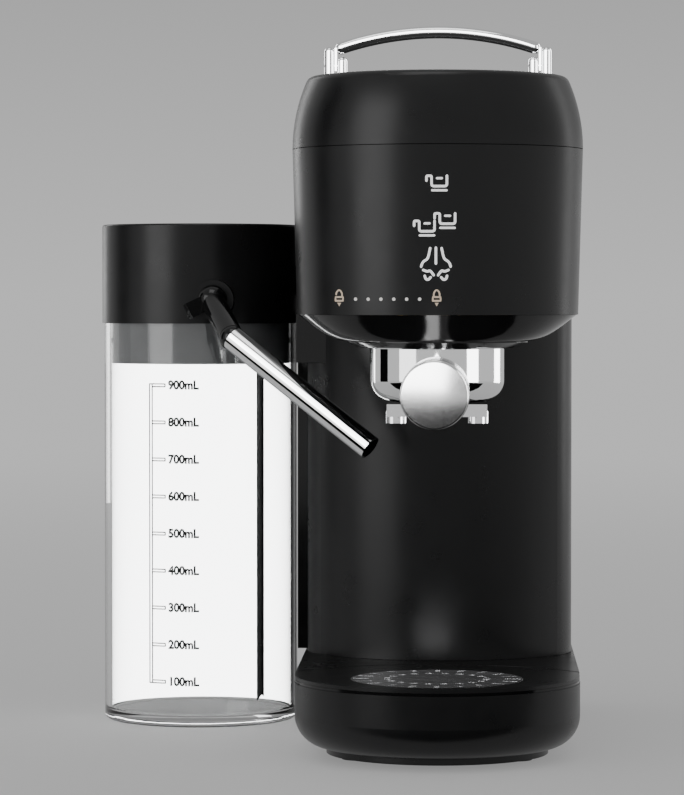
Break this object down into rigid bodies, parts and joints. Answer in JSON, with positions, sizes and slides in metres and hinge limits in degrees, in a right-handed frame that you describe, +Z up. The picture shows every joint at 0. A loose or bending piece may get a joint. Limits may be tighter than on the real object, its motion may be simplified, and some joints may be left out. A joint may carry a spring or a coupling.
{
  "type": "espresso machine with milk jar",
  "caption": "Slim upright espresso machine with a portafilter, round drip tray, folding carry handle, rear water tank and a docked milk frothing jar with a swivelling spout",
  "frame": {"origin": "middle of the footprint's box, on the worktop", "axes": "+Z up, front towards -Y, +X to the right seen from the front; the milk jar stands on the left, at -X"},
  "size_m": [0.228, 0.3706, 0.3248],
  "materials": {
    "satin_black": "satin moulded plastic",
    "gloss_black": "polished moulded plastic",
    "black_plastic": "fine textured plastic",
    "grey_plastic": "translucent grey plastic",
    "chrome": "mirror chrome",
    "satin_chrome": "satin chrome",
    "brushed_steel": "stainless steel",
    "cast_aluminium": "cast aluminium",
    "brass": "machined brass",
    "pump_shell": "moulded coil cover",
    "rubber": "soft rubber",
    "silicone": "silicone",
    "ptfe": "waxy white tubing",
    "circuit_board": "solder mask",
    "clear_jar": "clear, polished",
    "smoked_tank": "smoked clear plastic",
    "black_tube": "extruded tube"
  },
  "bodies": {
    "machine": {"base_shell": "satin_black", "base_plate": "satin_black", "rubber_feet": "rubber", "base_screws": "brushed_steel", "column_shell": "satin_black", "rear_panel": "black_plastic", "inner_frame": "brushed_steel", "head_shell": "satin_black", "head_cover": "satin_black", "head_floor": "black_plastic", "head_trim": "gloss_black", "group_collar": "gloss_black", "group_head": "brass", "group_gasket": "rubber", "shower_screen": "brushed_steel", "thermoblock": "cast_aluminium", "thermostat": "brushed_steel", "solenoid_valve": "pump_shell", "steam_valve": "brass", "pump": "pump_shell", "pump_mounts": "black_plastic", "flow_meter": "black_plastic", "inlet_hose": "silicone", "pump_hose": "silicone", "brew_pipe": "ptfe", "steam_pipe": "ptfe", "control_board": "circuit_board", "touch_board": "circuit_board", "dock_panel": "gloss_black", "dock_socket": "gloss_black", "handle_posts": "chrome", "handle_pins": "chrome", "tank_seat": "black_plastic", "switch_bezel": "black_plastic", "cord_gland": "black_plastic"},
    "portafilter": {"portafilter_body": "chrome", "portafilter_handle": "satin_chrome", "handle_cap": "satin_chrome", "portafilter_spout": "chrome", "filter_basket": "brushed_steel", "basket_spring": "brushed_steel"},
    "drip_tray": {"drip_tray": "gloss_black"},
    "tray_cover": {"tray_deck": "satin_black", "drip_grate": "brushed_steel"},
    "tank": {"water_tank": "smoked_tank", "valve_spring": "brushed_steel"},
    "tank_lid": {"tank_lid": "satin_black"},
    "tank_valve": {"tank_valve": "grey_plastic"},
    "milk_jar": {"milk_jar": "clear_jar"},
    "milk_lid": {"milk_lid": "satin_black", "lid_insert": "grey_plastic", "jar_seal": "silicone", "suction_tube": "black_tube", "froth_chamber": "grey_plastic", "lid_connector": "black_tube", "spout_socket": "gloss_black"},
    "milk_spout": {"spout_neck": "gloss_black", "spout_tube": "chrome"},
    "carry_handle": {"carry_handle": "chrome"},
    "power_rocker": {"power_rocker": "black_plastic"}
  },
  "joints": [
    {"name": "portafilter_lock", "type": "hinge", "parent": "machine", "child": "portafilter", "pos_m": [0.04958, -0.0617, 0.175], "axis": [0, 0, 1], "range_deg": [-42, 0]},
    {"name": "drip_tray_lift", "type": "slide", "parent": "machine", "child": "drip_tray", "axis": [0, 0, 1], "range_m": [0, 0.05]},
    {"name": "tray_cover_lift", "type": "slide", "parent": "drip_tray", "child": "tray_cover", "axis": [0, 0, 1], "range_m": [0, 0.04]},
    {"name": "tank_lift", "type": "slide", "parent": "machine", "child": "tank", "axis": [0, 0, 1], "range_m": [0, 0.12]},
    {"name": "tank_lid_hinge", "type": "hinge", "parent": "tank", "child": "tank_lid", "pos_m": [0.04958, 0.1088, 0.3], "axis": [1, 0, 0], "range_deg": [0, 95]},
    {"name": "tank_valve_press", "type": "slide", "parent": "tank", "child": "tank_valve", "axis": [0, 0, 1], "range_m": [0, 0.003], "stiffness_N_per_m": 200, "springref_m": -0.01, "deforming": ["valve_spring"]},
    {"name": "jar_undock", "type": "slide", "parent": "machine", "child": "milk_jar", "axis": [-1, 0, 0], "range_m": [0, 0.07]},
    {"name": "milk_lid_lift", "type": "slide", "parent": "milk_jar", "child": "milk_lid", "axis": [0, 0, 1], "range_m": [0, 0.026]},
    {"name": "spout_swivel", "type": "hinge", "parent": "milk_lid", "child": "milk_spout", "pos_m": [-0.05663, 0.0453, 0.2026], "axis": [0, 1, 0], "range_deg": [-8, 45]},
    {"name": "carry_handle_fold", "type": "hinge", "parent": "machine", "child": "carry_handle", "pos_m": [0.04958, -0.0347, 0.307], "axis": [-1, 0, 0], "range_deg": [0, 88]},
    {"name": "power_rocker_tilt", "type": "hinge", "parent": "machine", "child": "power_rocker", "pos_m": [0.07958, 0.1743, 0.0265], "axis": [1, 0, 0], "range_deg": [-8, 8]}
  ]
}
